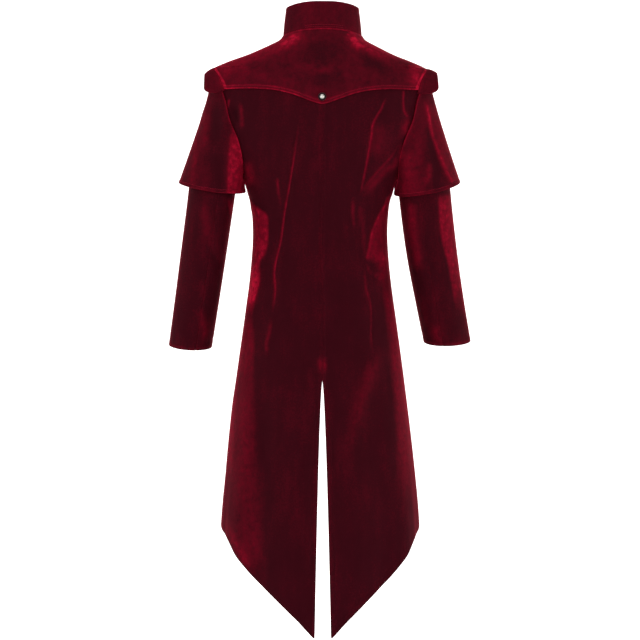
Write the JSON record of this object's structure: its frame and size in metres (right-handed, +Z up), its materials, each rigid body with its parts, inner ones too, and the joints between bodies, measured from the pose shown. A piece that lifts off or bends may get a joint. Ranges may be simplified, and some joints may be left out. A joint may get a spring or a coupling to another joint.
{
  "type": "tailcoat",
  "caption": "Hollow red velvet tailcoat as worn, with a stand collar, a pointed back yoke, shoulder wings, half sleeves over long sleeves and a skirt that ends in two tail points.",
  "frame": {"origin": "middle of the neck opening, level with its sides, where the coat sits on a wearer's shoulders", "axes": "+Z up, -Y towards the coat's front, +X towards the wearer's left side"},
  "size_m": [0.6299, 0.2562, 1.3051],
  "materials": {
    "velvet": "cotton velvet with a short pile, dark red, bright crimson at grazing angles",
    "stud_metal": "polished domed metal"
  },
  "bodies": {
    "root": {"collar": "velvet", "yoke": "velvet", "back_left": "velvet", "back_right": "velvet", "front_left": "velvet", "front_right": "velvet", "wing_left": "velvet", "wing_right": "velvet", "half_sleeve_left": "velvet", "half_sleeve_right": "velvet", "upper_sleeve_left": "velvet", "upper_sleeve_right": "velvet", "under_sleeve_left": "velvet", "under_sleeve_right": "velvet", "back_stud": "stud_metal", "front_button_1": "stud_metal", "front_button_2": "stud_metal", "front_button_3": "stud_metal", "front_button_4": "stud_metal", "front_button_5": "stud_metal"}
  },
  "joints": []
}
